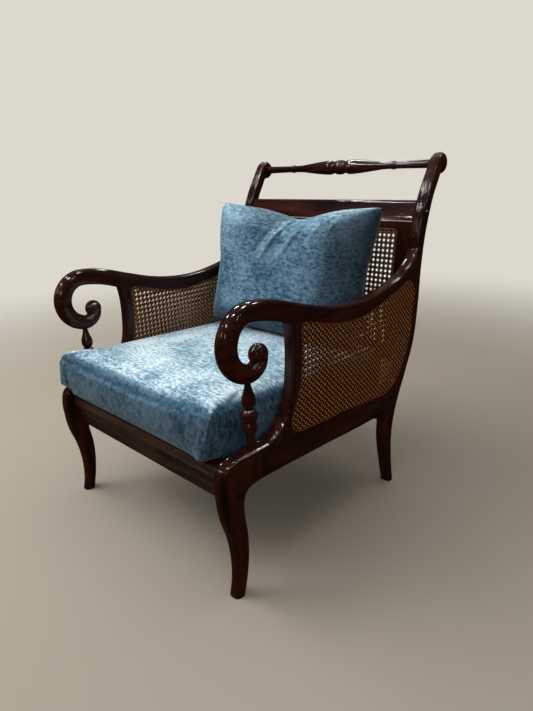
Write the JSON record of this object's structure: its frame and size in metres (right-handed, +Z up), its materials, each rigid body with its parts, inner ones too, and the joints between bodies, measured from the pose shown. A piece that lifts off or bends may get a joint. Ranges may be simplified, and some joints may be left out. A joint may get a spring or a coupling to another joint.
{
  "type": "planters chair",
  "caption": "Scroll-arm armchair with sabre legs, caned sides and back, turned top rail, box seat cushion and loose back cushion.",
  "frame": {"origin": "on the floor, in the middle of the chair's outline", "axes": "+Z up; the sitter faces -Y and the sitter's left is +X"},
  "size_m": [0.658, 0.833, 0.866],
  "materials": {
    "mahogany": "near-black red-brown mahogany under a high-gloss polish",
    "front_rail_mahogany": "dark brown mahogany, polished, a little greyer than the rest",
    "cane": "golden-brown lacquered cane, six-way weave",
    "cane_band": "flat stained cane binder over the edge of the weave",
    "seat_velvet": "pale blue crushed velvet with a soft sheen",
    "cushion_velvet": "mid blue crushed velvet with a soft sheen",
    "dark_plug": "near-black polished plug",
    "steel_screw": "zinc-plated steel"
  },
  "bodies": {
    "root": {"left_front_leg": "mahogany", "left_side_rail": "mahogany", "left_arm_post": "mahogany", "left_scroll_arm": "mahogany", "left_back_post": "mahogany", "left_baluster": "mahogany", "left_outer_cane": "cane", "left_inner_cane": "cane", "left_outer_cane_band": "cane_band", "left_inner_cane_band": "cane_band", "left_front_screw": "steel_screw", "left_rear_screw": "steel_screw", "left_crest_screw": "steel_screw", "left_front_plug": "dark_plug", "left_rear_plug": "dark_plug", "left_crest_plug": "dark_plug", "right_front_leg": "mahogany", "right_side_rail": "mahogany", "right_arm_post": "mahogany", "right_scroll_arm": "mahogany", "right_back_post": "mahogany", "right_baluster": "mahogany", "right_outer_cane": "cane", "right_inner_cane": "cane", "right_outer_cane_band": "cane_band", "right_inner_cane_band": "cane_band", "right_front_screw": "steel_screw", "right_rear_screw": "steel_screw", "right_crest_screw": "steel_screw", "right_front_plug": "dark_plug", "right_rear_plug": "dark_plug", "right_crest_plug": "dark_plug", "front_rail": "front_rail_mahogany", "rear_rail": "mahogany", "seat_frame_front": "mahogany", "seat_frame_rear": "mahogany", "seat_frame_left": "mahogany", "seat_frame_right": "mahogany", "seat_cane": "cane", "crest_board": "mahogany", "back_stile_left": "mahogany", "back_stile_right": "mahogany", "back_top_rail": "mahogany", "back_bottom_rail": "mahogany", "back_cane": "cane", "back_cane_band": "cane_band", "turned_top_rail": "mahogany"},
    "seat_cushion": {"seat_cushion": "seat_velvet"},
    "back_cushion": {"back_cushion": "cushion_velvet"}
  },
  "joints": [
    {"name": "seat_cushion_lift", "type": "slide", "parent": "root", "child": "seat_cushion", "axis": [0, 0, 1], "range_m": [0, 0.45]},
    {"name": "back_cushion_lift", "type": "slide", "parent": "seat_cushion", "child": "back_cushion", "axis": [0, 0, 1], "range_m": [0, 0.5]}
  ]
}
